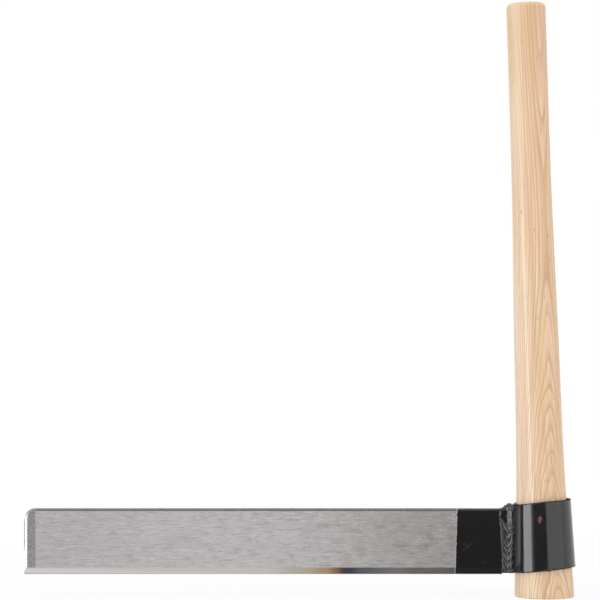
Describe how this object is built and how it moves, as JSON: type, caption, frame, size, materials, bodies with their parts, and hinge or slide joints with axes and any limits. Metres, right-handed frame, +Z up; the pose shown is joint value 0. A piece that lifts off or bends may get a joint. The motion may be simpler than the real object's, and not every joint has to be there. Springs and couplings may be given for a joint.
{
  "type": "froe",
  "caption": "Froe: a long straight bevelled splitting blade welded to a tapered steel eye, on a removable ash handle that wedges in from below.",
  "frame": {"origin": "centre of the handle's level butt face, at the bottom of the tool", "axes": "+Z up, along the handle within its small lean; the blade runs along -X with its cutting edge down; the blade lies in the XZ plane"},
  "size_m": [0.426, 0.0496, 0.4588],
  "materials": {
    "blade_steel": "ground and brushed, black paint at the heel",
    "eye_paint": "gloss black",
    "weld_paint": "gloss black over rough weld",
    "handle_ash": "turned and sanded, bare"
  },
  "bodies": {
    "handle": {"handle": "handle_ash"},
    "head": {"blade": "blade_steel", "eye": "eye_paint", "weld_front": "weld_paint", "weld_back": "weld_paint", "weld_cap": "weld_paint"}
  },
  "joints": [
    {"name": "head_slide", "type": "slide", "parent": "handle", "child": "head", "axis": [-0.0314, 0, 0.9995], "range_m": [0, 0.42]}
  ]
}
